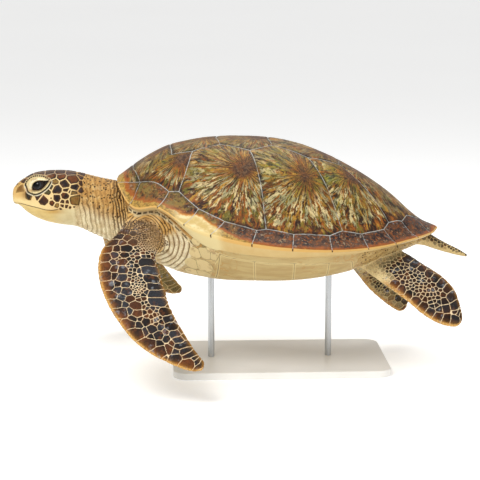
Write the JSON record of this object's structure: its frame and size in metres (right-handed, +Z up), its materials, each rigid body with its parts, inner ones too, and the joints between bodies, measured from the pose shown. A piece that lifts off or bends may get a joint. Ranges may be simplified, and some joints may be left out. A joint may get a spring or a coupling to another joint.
{
  "type": "green sea turtle",
  "caption": "Life-size swimming green sea turtle with scuted shell and wing-like flippers, held over a flat base by two rods.",
  "frame": {"origin": "centre of the underside of the stand's base plate", "axes": "-X the way the turtle swims, -Y the turtle's left side, +Z up"},
  "size_m": [1.268, 1.0016, 0.6427],
  "materials": {
    "carapace": "horny scutes, brown and olive rays over cream, low sheen",
    "plastron": "smooth cream-buff plates with thin seams",
    "skin": "tan, creased, speckled skin",
    "head_skin": "dark brown scales with cream borders",
    "jaw": "cream-yellow horny beak and throat",
    "flipper": "slate and brown scales with pale borders",
    "eye": "wet black",
    "stand_paint": "painted pale grey, satin",
    "stand_steel": "brushed"
  },
  "bodies": {
    "root": {"carapace": "carapace", "plastron": "plastron", "torso": "skin", "neck": "skin", "head": "head_skin", "lower_jaw": "jaw", "tail": "skin", "front_flipper_left": "flipper", "front_flipper_right": "flipper", "rear_flipper_left": "flipper", "rear_flipper_right": "flipper", "eye_left": "eye", "eye_right": "eye", "stand_base": "stand_paint", "stand_rod_front": "stand_steel", "stand_rod_rear": "stand_steel"}
  },
  "joints": []
}
